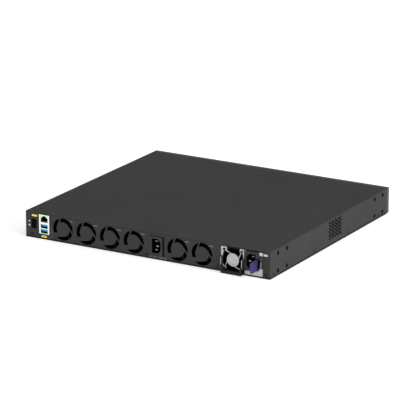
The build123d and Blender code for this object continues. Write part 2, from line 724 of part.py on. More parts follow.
def module_parts():
    """Transformer, choke and bulk capacitors on the module's board."""
    parts = [rear_block((360, 386), (9.9, 36), 110, 146), rear_block((394, 414), (9.9, 30), 118, 144)]
    return parts + [Pos(at_u(u), HALF_D - 80, 0) * rod_z(9, 0, 0, (9.9, 38)) for u in (372, 396)]


def module_inlet():
    """The module's mains inlet, snapped in behind the face plate."""
    start = MOD_FACE + MOD_SHEET + 0.05
    outer = inlet_mouth(MOD_INLET_W + 2 * INLET_WALL, INLET_H + 2 * INLET_WALL, -1)
    body = prism(Pos(*MOD_INLET_UZ) * outer, start, start + INLET_DEEP)
    mouth = inlet_mouth(MOD_INLET_W, INLET_H, -1)
    body -= prism(Pos(*MOD_INLET_UZ) * mouth, start - 1, start + INLET_MOUTH)
    return body - blade_slots(MOD_INLET_UZ, -1, start)


def guard_spoke(angle):
    """A thin arm that runs from the rim of the guard's disc out to a corner."""
    arm = Pos(-8.0, 11.9) * Rot(0, 0, -23.2) * Rectangle(11.0, 1.25)
    return Rot(0, 0, angle) * arm


def outline_face(points):
    """A flat face from its corner points in (u, z)."""
    return make_face(Polyline(points + points[:1]))


def guard_ear(u):
    """A plate bent outwards from the guard, which holds one pivot of the handle."""
    points = [
        (HALF_D, EAR_Z[0]),
        (HALF_D + EAR_OUT - 1.2, EAR_Z[0]),
        (HALF_D + EAR_OUT, EAR_Z[0] + 1.2),
        (HALF_D + EAR_OUT, EAR_Z[1] - 0.8),
        (HALF_D + EAR_OUT - 0.8, EAR_Z[1]),
        (HALF_D, EAR_Z[1] + 0.4),
    ]
    side = Plane(origin=(at_u(u[1]), 0, 0), x_dir=(0, 1, 0), z_dir=(1, 0, 0))
    return extrude(side * outline_face(points), amount=u[1] - u[0])


def module_guard():
    """Stamped fan guard: a disc, four arms, corner tabs, side strips and the handle's ears."""
    face = Pos(*MOD_FAN_UZ) * Circle(GUARD_DISC_R)
    for quarter in (0, 90, 180, 270):
        face += Pos(*MOD_FAN_UZ) * guard_spoke(quarter)
    face += pane((354.9, 365.3), (34.6, 41.0), 1.2) + pane((387.8, 395.1), (34.6, 41.0), 1.2)
    face += pane((359.9, 364.4), (5.9, 10.1), 1.0) + pane((387.2, 391.7), (5.9, 10.1), 1.0)
    face += outline_face(GUARD_LEFT)
    face += outline_face([(391.9, 36), (393.2, 33.2), (394.2, 30.4), (395.1, 30.4), (395.1, 36)])
    face += pane(EAR_U[1], (EAR_Z[0], 31.0))
    ring = Pos(*MOD_FAN_UZ) * (Circle(20.1) - Circle(19.0))
    face += ring & pane((EAR_U[0][1] - 0.5, 364.0), (6.0, 23.0))
    face += ring & pane((388.0, EAR_U[1][0] + 0.5), (6.0, 25.0))
    start = MOD_FACE - 0.7
    guard = prism(face, start, start + 0.6)
    for u in EAR_U:
        guard += guard_ear(u)
    corner = MOD_FAN / 2 - 4.0
    places = [(MOD_FAN_UZ[0] + su * corner, MOD_FAN_UZ[1] + sz * corner) for su in (-1, 1) for sz in (-1, 1)]
    guard -= [rod_y(1.6, at_u(u), (HALF_D - 1, HALF_D + 2), z) for u, z in places]
    x = (at_u(396), at_u(354))
    return guard - rod_x(1.06, x, HALF_D + HANDLE_PIVOT_OUT, HANDLE_PIVOT_Z)


def guard_screws():
    """Screws through the guard's corner tabs into the fan frame."""
    corner = MOD_FAN / 2 - 4.0
    face = HALF_D - MOD_FACE + 0.7
    screws = []
    for su in (-1, 1):
        for sz in (-1, 1):
            x = at_u(MOD_FAN_UZ[0] + su * corner)
            z = MOD_FAN_UZ[1] + sz * corner
            head = rod_y(2.0, x, (face, face + 0.7), z)
            head -= block(grow((x, x), 1.4), (face + 0.35, face + 1), grow((z, z), 0.3))
            screws.append(head + rod_y(1.5, x, (face - 8, face), z))
    return screws


def module_clip():
    """Bright L-shaped plate along the foot and the far edge of the module's face."""
    outline = pane((395.9, 427.4), (2.8, 8.4)) + pane((420.8, 427.4), (2.8, 15.2))
    outline += outline_face([(412.0, 8.0), (413.5, 9.8), (418.6, 9.8), (421.5, 12.0), (421.5, 8.0)])
    plate = prism(outline, MOD_FACE - 0.65, MOD_FACE - 0.05)
    return plate - [rod_y(1.4, at_u(u), (HALF_D - 2, HALF_D + 2), z) for u, z in MOD_LAMPS]


def module_lamps():
    """The module's two lamp lenses."""
    face = HALF_D - MOD_FACE
    return [rod_y(1.25, at_u(u), (face + 0.05, face + 1.0), z) for u, z in MOD_LAMPS]


def module_handle():
    """Folding pull: a deep bar across the foot of the fan on two flat arms with stub pivots."""
    back, front = [HALF_D + out for out in HANDLE_OUT]
    low, high = HANDLE_Z
    pivot_y = HALF_D + HANDLE_PIVOT_OUT
    section = [
        (back, low),
        (front - 1.6, low),
        (front, low + 2.0),
        (front, high - 0.8),
        (front - 0.8, high),
        (back, high),
    ]
    arm = [
        (front - 4.1, low + 1),
        (front, low + 2.0),
        (front, 11.0),
        (pivot_y + 2.1, HANDLE_PIVOT_Z),
        (pivot_y - 2.1, HANDLE_PIVOT_Z),
        (front - 4.1, 10.0),
    ]
    handle = Part()
    ends = (HANDLE_U[0], HANDLE_U[0] + HANDLE_ARM), (HANDLE_U[1] - HANDLE_ARM, HANDLE_U[1])
    for outline, spans in ((section, [HANDLE_U]), (arm, ends)):
        for u in spans:
            side = Plane(origin=(at_u(u[1]), 0, 0), x_dir=(0, 1, 0), z_dir=(1, 0, 0))
            handle += extrude(side * outline_face(outline), amount=u[1] - u[0])
    for u in ends:
        handle += rod_x(2.1, (at_u(u[1]), at_u(u[0])), pivot_y, HANDLE_PIVOT_Z)
    handle += rod_x(1.0, (at_u(HANDLE_U[0] + 1), at_u(EAR_U[0][0])), pivot_y, HANDLE_PIVOT_Z)
    return handle + rod_x(1.0, (at_u(EAR_U[1][1]), at_u(HANDLE_U[1] - 1)), pivot_y, HANDLE_PIVOT_Z)


def module_latch():
    """Release lever: a flat tab that sticks out of the face on a long thin arm."""
    tab = rear_block(LATCH_U, LATCH_Z, -LATCH_OUT, 4.0)
    tab = chamfer(tab.edges().filter_by(Axis.X).sort_by(Axis.Y)[-2:], 2.0)
    arm_z = (14.0, 25.5)
    arm = rear_block((LATCH_U[0] + 0.6, LATCH_U[1] - 0.4), arm_z, 3.0, LATCH_PIVOT_IN)
    x = at_u((LATCH_U[0] + LATCH_U[1]) / 2)
    y = HALF_D - LATCH_PIVOT_IN
    return tab + arm + rod_z(2.6, x, y, arm_z) - rod_z(1.05, x, y, grow(arm_z, 1))


def latch_pin():
    """Upright pin that the release lever turns on, held in the case's floor and roof."""
    x = at_u((LATCH_U[0] + LATCH_U[1]) / 2)
    return rod_z(1.0, x, HALF_D - LATCH_PIVOT_IN, grow(MOD_Z, -MOD_SHEET))


def module_fan_place():
    """Where the module's fan sits, just behind the guard."""
    return Pos(at_u(MOD_FAN_UZ[0]), HALF_D - MOD_FACE, MOD_FAN_UZ[1])


# ---------------------------------------------------------------- write every piece
def main():
    os.makedirs("parts", exist_ok=True)
    save("base_tray", base_tray())
    save("top_cover", top_cover())
    save("front_bezel", front_bezel())
    save("chassis_screws", side_screws() + rear_screws())
    save("rack_nuts", rack_nuts())
    frame = fan_frame(FAN)
    rotor = fan_rotor(FAN)
    for n, u in enumerate(FAN_PLACES, 1):
        save(f"fan_frame_{n}", chassis_fan_place(u) * frame)
        save(f"fan_rotor_{n}", chassis_fan_place(u) * rotor)
    save("fan_trays", [fan_tray(FAN_PLACES[:4]), fan_tray(FAN_PLACES[4:])])
    save("stack_shield", stack_shield())
    save("stack_insert", stack_insert())
    save("jack_contacts", jack_contacts())
    save("usb_tongues", usb_tongues())
    save("stack_lights", stack_lights())
    save("console_bezel", console_bezel())
    save("console_socket", [console_shell(), console_tongue()])
    save("status_lenses", status_lenses())
    save("ac_inlet", ac_inlet())
    save("ac_blades", inlet_blades(INLET_UZ, 1, INLET_FACE))
    save("ac_wires", ac_wires())
    save("main_board", main_board())
    save("management_board", management_board())
    save("board_standoffs", main_standoffs() + management_standoffs())
    save("switch_chip", switch_chip())
    save("chip_heatsink", heatsink((-45, 45), (-115, -25), (BOARD_Z[1] + 3.5, 38), 19))
    save("board_capacitors", board_capacitors())
    save("port_cage_left", port_cage(CAGE_X[0]))
    save("port_cage_right", port_cage(CAGE_X[1]))
    save("wide_cages", [wide_cage(x) for x in WIDE_PORT_X])
    save("light_pipes", light_pipes())
    save("reset_switch", reset_switch())
    save("reset_button", reset_button())
    save("supply_case", supply_case())
    save("supply_board", supply_board())
    save("supply_transformer", supply_transformer())
    save("bay_guide", bay_guide())
    save("bay_socket", bay_socket())
    save("module_case", module_case())
    save("module_board", module_board())
    save("module_parts", module_parts())
    save("module_inlet", module_inlet())
    save("module_blades", inlet_blades(MOD_INLET_UZ, -1, MOD_FACE + MOD_SHEET + 0.05))
    save("module_fan_frame", module_fan_place() * fan_frame(MOD_FAN))
    save("module_rotor", module_fan_place() * fan_rotor(MOD_FAN))
    save("module_guard", module_guard())
    save("guard_screws", guard_screws())
    save("module_clip", module_clip())
    save("module_lamps", module_lamps())
    save("module_handle", module_handle())
    save("module_latch", module_latch())
    save("latch_pin", latch_pin())


main()
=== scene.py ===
"""Looks for the rack network switch: materials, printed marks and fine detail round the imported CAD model."""
import json
import math

import bmesh
import bpy
from mathutils import Matrix, Vector


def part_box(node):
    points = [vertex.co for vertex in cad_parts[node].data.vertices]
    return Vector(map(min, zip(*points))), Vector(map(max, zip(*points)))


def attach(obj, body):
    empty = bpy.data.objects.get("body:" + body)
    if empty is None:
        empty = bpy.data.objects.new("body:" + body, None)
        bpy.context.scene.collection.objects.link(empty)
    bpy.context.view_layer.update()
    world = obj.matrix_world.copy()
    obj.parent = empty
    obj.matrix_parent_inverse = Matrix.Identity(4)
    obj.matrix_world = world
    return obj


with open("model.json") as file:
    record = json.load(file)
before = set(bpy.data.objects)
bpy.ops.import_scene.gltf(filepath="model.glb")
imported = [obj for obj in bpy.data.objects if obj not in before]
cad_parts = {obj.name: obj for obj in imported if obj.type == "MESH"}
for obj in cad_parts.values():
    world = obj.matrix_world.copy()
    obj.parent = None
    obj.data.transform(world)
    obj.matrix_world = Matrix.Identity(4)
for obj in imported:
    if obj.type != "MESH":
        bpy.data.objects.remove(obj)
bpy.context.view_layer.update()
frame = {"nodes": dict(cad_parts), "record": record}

MM = 0.001
nodes = frame["nodes"]
record = frame["record"]
scene = bpy.context.scene

LOW, HIGH = 0, 1
REAR_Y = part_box("base_tray")[HIGH].y
FRONT_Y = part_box("front_bezel")[LOW].y
cover_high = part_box("top_cover")[HIGH]
TOP_Z = cover_high.z
HALF_W = cover_high.x


def middle(node):
    """Middle of a CAD node's box."""
    low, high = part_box(node)
    return (low + high) / 2


# ------------------------------------------------------------------ camera, floor and light
AZIMUTH = math.radians(29.96)    # of the camera, from straight behind (+Y) towards -X
ELEVATION = math.radians(16.99)
DISTANCE = 4.695
TARGET = Vector((0.0143, -0.0191, 0.020))
LENS_MM, SENSOR_MM = 252.5, 36.0
FAR_CLIP = 50.0
WORLD_STRENGTH = 0.6
FLOOR_HALF = 12.0
FLOOR_DROP = 0.0002    # keeps the floor clear of the object's underside
FLOOR_GREY, FLOOR_ROUGHNESS, FLOOR_GLOW = 0.96, 0.9, 0.32
LIGHTS = (    # name, place in metres, size in metres, watts
    ("key", (-1.0, 1.2, 3.2), (3.0, 3.0), 18),
    ("side", (-3.4, 0.4, 1.2), (2.5, 2.0), 104),
    ("rear", (0.6, 3.6, 0.8), (3.0, 1.4), 25),
)


def make_camera():
    data = bpy.data.cameras.new("camera")
    data.lens = LENS_MM
    data.sensor_width = SENSOR_MM
    data.clip_end = FAR_CLIP
    camera = bpy.data.objects.new("camera", data)
    scene.collection.objects.link(camera)
    level = math.cos(ELEVATION)
    back = Vector((-math.sin(AZIMUTH) * level, math.cos(AZIMUTH) * level, math.sin(ELEVATION)))
    camera.location = TARGET + back * DISTANCE
    camera.rotation_euler = (-back).to_track_quat("-Z", "Y").to_euler()
    scene.camera = camera


def area_light(name, place, size, watts):
    """A white soft box that points at the origin."""
    data = bpy.data.lights.new(name, "AREA")
    data.shape = "RECTANGLE"
    data.size, data.size_y = size
    data.energy = watts
    light = bpy.data.objects.new(name, data)
    scene.collection.objects.link(light)
    light.location = place
    light.rotation_euler = (-Vector(place)).to_track_quat("-Z", "Y").to_euler()


def make_stage():
    scene.view_settings.view_transform = "Standard"
    world = bpy.data.worlds.new("studio")
    world.use_nodes = True
    background = world.node_tree.nodes["Background"]
    background.inputs["Color"].default_value = (1, 1, 1, 1)
    background.inputs["Strength"].default_value = WORLD_STRENGTH
    scene.world = world
    mesh = bpy.data.meshes.new("floor")
    half = FLOOR_HALF
    mesh.from_pydata([(-half, -half, 0), (half, -half, 0), (half, half, 0), (-half, half, 0)], [], [(0, 1, 2, 3)])
    floor = bpy.data.objects.new("floor", mesh)
    scene.collection.objects.link(floor)
    floor.location.z = -FLOOR_DROP
    material = bpy.data.materials.new("floor_paper")
    material.use_nodes = True
    shader = material.node_tree.nodes["Principled BSDF"]
    shader.inputs["Base Color"].default_value = (FLOOR_GREY, FLOOR_GREY, FLOOR_GREY, 1)
    shader.inputs["Roughness"].default_value = FLOOR_ROUGHNESS
    shader.inputs["Emission Color"].default_value = (1, 1, 1, 1)
    shader.inputs["Emission Strength"].default_value = FLOOR_GLOW
    shader.inputs["Specular IOR Level"].default_value = 0.0
    mesh.materials.append(material)
    for light in LIGHTS:
        area_light(*light)


make_camera()
make_stage()


# ------------------------------------------------------------------ materials
RAMP_START, RAMP_STOP = 0.35, 0.65    # where noise, which keeps near 0.5, turns from one colour to the other
COAT_MIX = 0.3                        # share of the broad clouds in the powder coat's mottle
SKIN_IN, SKIN_OUT = 0.00042, 0.00038  # depth in metres at which the paint gives way to painted shade on cut edges and inner faces
EARTH_REACH = 0.002                   # half height in metres of the band that holds the earth blade
TIP_SHADED, TIP_UNSHADED = -0.0009, -0.0005    # metres from a blade's tip where the painted shade is full, and where it ends


def shader_of(material):
    return material.node_tree.nodes["Principled BSDF"]


def new_material(name, roughness, metallic=0.0, specular=0.5, coat=0.0):
    material = bpy.data.materials.new(name)
    material.use_nodes = True
    shader = shader_of(material)
    shader.inputs["Roughness"].default_value = roughness
    shader.inputs["Metallic"].default_value = metallic
    shader.inputs["Specular IOR Level"].default_value = specular
    shader.inputs["Coat Weight"].default_value = coat
    return material


def noise(material, scale, detail=3, stretch=(1, 1, 1)):
    """Noise in object coordinates; scale is per metre, and a stretch below 1 draws it out along that axis."""
    tree = material.node_tree
    coords = tree.nodes.new("ShaderNodeTexCoord")
    mapping = tree.nodes.new("ShaderNodeMapping")
    mapping.inputs["Scale"].default_value = stretch
    texture = tree.nodes.new("ShaderNodeTexNoise")
    texture.inputs["Scale"].default_value = scale
    texture.inputs["Detail"].default_value = detail
    tree.links.new(coords.outputs["Object"], mapping.inputs["Vector"])
    tree.links.new(mapping.outputs["Vector"], texture.inputs["Vector"])
    return texture.outputs["Fac"]


def shade(colour, factor):
    return tuple(min(1.0, c * factor) for c in colour)


def connect(material, value, socket):
    material.node_tree.links.new(value, shader_of(material).inputs[socket])


def mottle(material, value, colour, darker, lighter):
    """Let a 0 to 1 value vary the base colour between two factors of it."""
    node = material.node_tree.nodes.new("ShaderNodeValToRGB")
    ends = node.color_ramp.elements
    for end, position, factor in zip(ends, (RAMP_START, RAMP_STOP), (darker, lighter)):
        end.position = position
        end.color = (*shade(colour, factor), 1)
    material.node_tree.links.new(value, node.inputs["Fac"])
    connect(material, node.outputs["Color"], "Base Color")


def uneven_gloss(material, value, low, high):
    """Let a 0 to 1 value vary the roughness between low and high."""
    node = material.node_tree.nodes.new("ShaderNodeMapRange")
    node.inputs["To Min"].default_value = low
    node.inputs["To Max"].default_value = high
    material.node_tree.links.new(value, node.inputs["Value"])
    connect(material, node.outputs["Result"], "Roughness")


def bump(material, value, height_mm, strength):
    node = material.node_tree.nodes.new("ShaderNodeBump")
    node.inputs["Distance"].default_value = height_mm * MM
    node.inputs["Strength"].default_value = strength
    material.node_tree.links.new(value, node.inputs["Height"])
    material.node_tree.links.new(node.outputs["Normal"], shader_of(material).inputs["Normal"])


def powder_coat(name, colour, roughness):
    """Fine-textured powder paint: a faint mottle, an orange-peel bump and slightly uneven gloss."""
    material = new_material(name, roughness, specular=0.06)
    fine = noise(material, scale=1600, detail=4)
    broad = noise(material, scale=14, detail=2)
    mix = material.node_tree.nodes.new("ShaderNodeMix")
    mix.inputs["Factor"].default_value = COAT_MIX
    material.node_tree.links.new(fine, mix.inputs["A"])
    material.node_tree.links.new(broad, mix.inputs["B"])
    mottle(material, mix.outputs["Result"], colour, darker=0.88, lighter=1.12)
    uneven_gloss(material, fine, roughness - 0.08, roughness + 0.1)
    bump(material, fine, height_mm=0.03, strength=0.35)
    return material


def moulded(name, colour, roughness=0.5, grain=2200, specular=0.4):
    """Moulded plastic with a spark-eroded texture."""
    material = new_material(name, roughness, specular=specular)
    fine = noise(material, scale=grain, detail=5)
    mottle(material, noise(material, scale=60, detail=2), colour, darker=0.9, lighter=1.1)
    uneven_gloss(material, fine, roughness - 0.07, roughness + 0.09)
    bump(material, fine, height_mm=0.02, strength=0.3)
    return material


def metal(name, colour, roughness, stretch=(1, 1, 0.03)):
    """Rolled or stamped metal with fine drawn-out lines."""
    material = new_material(name, roughness, metallic=1.0)
    lines = noise(material, scale=4000, stretch=stretch)
    mottle(material, noise(material, scale=120), colour, darker=0.9, lighter=1.06)
    uneven_gloss(material, lines, roughness - 0.07, roughness + 0.12)
    bump(material, lines, height_mm=0.01, strength=0.25)
    return material


def lens(name, colour, glow):
    """Clear or tinted lamp plastic, slightly cloudy, that glows a little."""
    material = new_material(name, roughness=0.18, coat=0.3)
    mottle(material, noise(material, scale=700, detail=2), colour, darker=0.85, lighter=1.0)
    shader = shader_of(material)
    shader.inputs["Emission Color"].default_value = (*colour, 1)
    shader.inputs["Emission Strength"].default_value = glow
    return material


def solder_mask(name, colour):
    """Circuit board: green mask with faint traces."""
    material = new_material(name, roughness=0.35)
    tree = material.node_tree
    coords = tree.nodes.new("ShaderNodeTexCoord")
    brick = tree.nodes.new("ShaderNodeTexBrick")
    brick.inputs["Scale"].default_value = 160
    brick.inputs["Mortar Size"].default_value = 0.03
    brick.inputs["Color1"].default_value = (*colour, 1)
    brick.inputs["Color2"].default_value = (*shade(colour, 0.8), 1)
    brick.inputs["Mortar"].default_value = (*shade(colour, 1.9), 1)
    tree.links.new(coords.outputs["Object"], brick.inputs["Vector"])
    connect(material, brick.outputs["Color"], "Base Color")
    bump(material, noise(material, scale=900), height_mm=0.02, strength=0.3)
    return material


def place_sockets(material):
    """Object X, Y and Z, which are row-frame metres, as sockets."""
    tree = material.node_tree
    coords = tree.nodes.new("ShaderNodeTexCoord")
    split = tree.nodes.new("ShaderNodeSeparateXYZ")
    tree.links.new(coords.outputs["Object"], split.inputs["Vector"])
    return split.outputs


def fade(material, value, start, stop, low_colour):
    """Fade a material's colour to low_colour as the value goes from stop to start."""
    tree = material.node_tree
    base = shader_of(material).inputs["Base Color"]
    main = base.links[0].from_socket
    band = tree.nodes.new("ShaderNodeMapRange")
    band.inputs["From Min"].default_value = start
    band.inputs["From Max"].default_value = stop
    tree.links.new(value, band.inputs["Value"])
    mix = tree.nodes.new("ShaderNodeMix")
    mix.data_type = "RGBA"
    mix.inputs["A"].default_value = (*low_colour, 1)
    tree.links.new(band.outputs["Result"], mix.inputs["Factor"])
    tree.links.new(main, mix.inputs["B"])
    tree.links.new(mix.outputs["Result"], base)


def graded(material, axis, start, stop, low_colour):
    """Fade a material's colour to low_colour where the axis falls from stop to start, in metres."""
    fade(material, place_sockets(material)[axis], start, stop, low_colour)


def number(material, operation, first, second=None):
    """One arithmetic step between numbers or sockets."""
    node = material.node_tree.nodes.new("ShaderNodeMath")
    node.operation = operation
    for socket, value in zip(node.inputs, (first, second)):
        if isinstance(value, (int, float)):
            socket.default_value = value
        elif value is not None:
            material.node_tree.links.new(value, socket)
    return node.outputs[0]


def dark_inside(material, low_colour):
    """Paint colour stays only on the outer skin: cut edges, hole walls and inner faces of the sheet get painted shade.
    """
    axes = place_sockets(material)
    across = number(material, "SUBTRACT", HALF_W, number(material, "ABSOLUTE", axes["X"]))
    back = number(material, "SUBTRACT", REAR_Y, axes["Y"])
    down = number(material, "SUBTRACT", TOP_Z, axes["Z"])
    sides = number(material, "MINIMUM", across, back)
    depth = number(material, "MINIMUM", sides, number(material, "MINIMUM", down, axes["Z"]))
    fade(material, depth, SKIN_IN, SKIN_OUT, low_colour)


def bright_tips(material, live_tip, earth_tip, earth_z, low_colour):
    """Contact blades keep their metal colour only at their tips, given in metres behind the rear plane; further in they
    get painted shade. The earth blade is longer.
    """
    axes = place_sockets(material)
    from_earth = number(material, "ABSOLUTE", number(material, "SUBTRACT", axes["Z"], earth_z))
    is_earth = number(material, "LESS_THAN", from_earth, EARTH_REACH)
    extra = number(material, "MULTIPLY", is_earth, live_tip - earth_tip)
    tip = number(material, "ADD", REAR_Y - live_tip, extra)
    fade(material, number(material, "SUBTRACT", axes["Y"], tip), TIP_SHADED, TIP_UNSHADED, low_colour)


def ink(name, colour):
    """Screen-printed ink or label film, slightly uneven."""
    material = new_material(name, roughness=0.6, specular=0.25)
    mottle(material, noise(material, scale=1500, detail=4), colour, darker=0.86, lighter=1.06)
    bump(material, noise(material, scale=3000, detail=2), height_mm=0.005, strength=0.2)
    return material


PAINT = powder_coat("case_paint", (0.036, 0.036, 0.0365), 0.6)
graded(PAINT, "Z", 0.0022, 0.0032, (0.011, 0.011, 0.011))    # painted shade, darker along the bottom edge as in the photograph
# painted shade on cut edges, hole walls and inner faces of the sheet
dark_inside(PAINT, (0.004, 0.004, 0.0042))
MODULE_PAINT = powder_coat("module_paint", (0.034, 0.034, 0.036), 0.5)
BEZEL = moulded("bezel_plastic", (0.028, 0.028, 0.029))
SCREW = metal("screw_black", (0.030, 0.030, 0.032), 0.55)
STEEL = metal("bare_steel", (0.50, 0.51, 0.52), 0.38)
BRIGHT = metal("bright_steel", (0.40, 0.40, 0.40), 0.40)
SHIELD = metal("shield_steel", (0.78, 0.79, 0.80), 0.34)
# painted shade: near-black steel for the bay guide, supply case and fan trays, which sit in shade inside the case
SHADED_STEEL = metal("shaded_steel", (0.05, 0.05, 0.052), 0.5)
HANDLE_BLACK = moulded("handle_black", (0.030, 0.030, 0.031), 0.6, specular=0.02)
graded(HANDLE_BLACK, "Z", 0.0024, 0.0030, (0.001, 0.001, 0.001))    # painted shade on its lower edge, in the handle's rest position
BLACK = moulded("black_plastic", (0.006, 0.006, 0.0065), specular=0.3)
FRAME_BLACK = moulded("fan_plastic", (0.0025, 0.0025, 0.003), 0.6, specular=0.1)
ROTOR = moulded("rotor_plastic", (0.003, 0.003, 0.0035), specular=0.15)
INLET_GREY = moulded("inlet_plastic", (0.034, 0.034, 0.035), specular=0.15)
graded(INLET_GREY, "Y", REAR_Y - 0.0003, REAR_Y - 0.0001, (0.004, 0.004, 0.004))    # painted shade, black behind its flange
BRASS = metal("plated_brass", (0.80, 0.62, 0.26), 0.25)
# the blades' nickel colour, and the painted shade that takes its place further in
BLADE_BRIGHT, BLADE_SHADE = (0.42, 0.42, 0.40), (0.010, 0.010, 0.010)
NICKEL = metal("blade_nickel", BLADE_BRIGHT, 0.4)
bright_tips(NICKEL, live_tip=0.0035, earth_tip=0.0006, earth_z=middle("ac_blades").z, low_colour=BLADE_SHADE)
MODULE_NICKEL = metal("module_blade_nickel", BLADE_BRIGHT, 0.4)
bright_tips(MODULE_NICKEL, live_tip=0.00475, earth_tip=0.00185, earth_z=middle("module_blades").z,
            low_colour=BLADE_SHADE)
USB_BLUE = moulded("usb_blue", (0.012, 0.26, 0.52), 0.4, specular=0.3)
VIOLET = moulded("latch_violet", (0.032, 0.030, 0.112), 0.45, specular=0.3)
graded(VIOLET, "Y", REAR_Y - 0.0002, REAR_Y + 0.0016, (0.006, 0.006, 0.016))    # painted shade, darker where it enters the module
BOARD = solder_mask("board_green", (0.01, 0.07, 0.03))
ALUMINIUM = metal("sink_aluminium", (0.72, 0.73, 0.75), 0.35, (1, 0.03, 1))
CLEAR = lens("clear_lens", (0.46, 0.48, 0.46), 0.05)
GREEN = lens("green_lens", (0.40, 0.95, 0.045), 0.35)
LAMP_GREEN = lens("lamp_green", (0.30, 0.50, 0.13), 0.06)
SLEEVE = moulded("can_sleeve", (0.01, 0.012, 0.03), 0.3, specular=0.5)
WIRE = moulded("wire_sleeve", (0.12, 0.05, 0.02), 0.4)
WHITE_INK = ink("white_ink", (0.62, 0.62, 0.62))
SOFT_INK = ink("soft_white_ink", (0.34, 0.34, 0.34))
GREY_INK = ink("grey_ink", (0.17, 0.17, 0.17))
DARK_INK = ink("dark_ink", (0.05, 0.05, 0.05))
ORANGE_INK = ink("orange_ink", (0.50, 0.20, 0.02))
AMBER_INK = ink("amber_ink", (0.19, 0.125, 0.040))
YELLOW_LABEL = ink("yellow_label", (0.92, 0.67, 0.11))
# painted shade: a near-black strip for the handle's downward-facing lip
LIP_SHADE = moulded("handle_lip_shade", (0.0012, 0.0012, 0.0012), 0.8, grain=1200, specular=0.0)
GASKET = moulded("gasket", (0.02, 0.02, 0.02), 0.8, grain=900, specular=0.1)
FINGER = metal("spring_finger", (0.72, 0.70, 0.64), 0.3)
BY_SLOT = {
    "case_paint": PAINT, "module_paint": MODULE_PAINT, "bezel_plastic": BEZEL, "screw_black": SCREW,
    "bare_steel": STEEL, "bright_steel": BRIGHT, "black_plastic": BLACK, "rotor_plastic": ROTOR,
    "plated_brass": BRASS, "usb_blue": USB_BLUE, "latch_violet": VIOLET, "board_green": BOARD,
    "sink_aluminium": ALUMINIUM, "clear_lens": CLEAR, "green_lens": GREEN, "can_sleeve": SLEEVE,
    "wire_sleeve": WIRE,
}
BY_NODE = {    # nodes that look different from the rest of their slot
    "ac_inlet": INLET_GREY, "ac_blades": NICKEL, "module_blades": MODULE_NICKEL, "module_lamps": LAMP_GREEN,
    "module_inlet": BLACK, "console_socket": PAINT, "console_bezel": PAINT, "guard_screws": SCREW,
    "module_fan_frame": FRAME_BLACK, "rack_nuts": FRAME_BLACK, "stack_shield": SHIELD,
    "module_handle": HANDLE_BLACK, "bay_guide": SHADED_STEEL, "supply_case": SHADED_STEEL, "fan_trays": SHADED_STEEL,
}
for part in record["subparts"]:
    name = part["node"]
    material = BY_NODE.get(name, BY_SLOT[part["material_slot"]])
    if name.startswith("fan_frame"):
        material = FRAME_BLACK
    nodes[name].data.materials.clear()
    nodes[name].data.materials.append(material)


# ------------------------------------------------------------------ building detail pieces
PRINT = 0.06                    # mm that printed marks stand out
LABEL, LABEL_RULE = 0.1, 0.13   # mm that a label, and a rule printed on it, stand out
INSET = 0.3                     # mm that marks and labels reach into the sheet, so that no gap shows
LABEL_ROUND = 0.05              # mm, a label's rounded edge
ROUND_LIMIT = 0.4               # share of a box's thinnest side that its edges may be rounded by
STUD_SIDES, STUD_TAPER = 28, 0.75
DIGIT_STEP = 1.7                # from one digit to the next, in digit widths
DIGIT_STROKE = 0.16             # a stroke's width, in digit heights
SEGMENTS = {  # which of the seven strokes each numeral shows
    "1": "bc", "2": "abged", "3": "abgcd", "4": "fgbc", "5": "afgcd", "6": "afgedc", "7": "abc",
    "8": "abcdefg", "9": "abcdfg", "0": "abcdef",
}


def place_u(u):
    """Row-frame X of a place u millimetres along the rear panel from its left end."""
    return HALF_W - u * MM


def rear_slab(u, z, out, deep=INSET):
    """Box limits on the rear panel: it stands out mm proud and reaches deep mm in."""
    return ((place_u(u[1]), place_u(u[0])), (REAR_Y - deep * MM, REAR_Y + out * MM), (z[0] * MM, z[1] * MM))


def front_slab(x, z, out):
    """Box limits on the front bezel's face, from places in mm."""
    return ((x[0] * MM, x[1] * MM), (FRONT_Y - out * MM, FRONT_Y + INSET * MM), (z[0] * MM, z[1] * MM))


def stroke(plane, a, b, width):
    """A straight printed line between two (u or x, z) points that share a coordinate."""
    half = width / 2
    along = (min(a[0], b[0]) - half, max(a[0], b[0]) + half)
    up = (min(a[1], b[1]) - half, max(a[1], b[1]) + half)
    return plane(along, up, PRINT)


def add_piece(name, bm, material, body):
    mesh = bpy.data.meshes.new(name)
    bm.to_mesh(mesh)
    bm.free()
    mesh.materials.append(material)
    piece = bpy.data.objects.new(name, mesh)
    scene.collection.objects.link(piece)
    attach(piece, body)


def slabs(name, limits, material, body, round_mm=0.0):
    """One piece made of plain or edge-rounded boxes."""
    bm = bmesh.new()
    for x, y, z in limits:
        size = (abs(x[1] - x[0]), abs(y[1] - y[0]), abs(z[1] - z[0]))
        place = Matrix.Translation(((x[0] + x[1]) / 2, (y[0] + y[1]) / 2, (z[0] + z[1]) / 2))
        made = bmesh.ops.create_cube(bm, size=1.0, matrix=place @ Matrix.Diagonal((*size, 1.0)))
        if round_mm:
            edges = list({edge for vert in made["verts"] for edge in vert.link_edges})
            reach = min(round_mm * MM, min(size) * ROUND_LIMIT)
            bmesh.ops.bevel(bm, geom=edges, offset=reach, segments=2, affect="EDGES")
    add_piece(name, bm, material, body)


def studs(name, places, radius_mm, thick_mm, material, body):
    """Low round studs with a sloping rim on the rear side, centred on (x, y, z) points in metres."""
    bm = bmesh.new()
    turn = Matrix.Rotation(math.radians(-90), 4, "X")
    for place in places:
        bmesh.ops.create_cone(bm, cap_ends=True, segments=STUD_SIDES, radius1=radius_mm * MM,
                              radius2=radius_mm * STUD_TAPER * MM, depth=thick_mm * MM,
                              matrix=Matrix.Translation(place) @ turn)
    add_piece(name, bm, material, body)


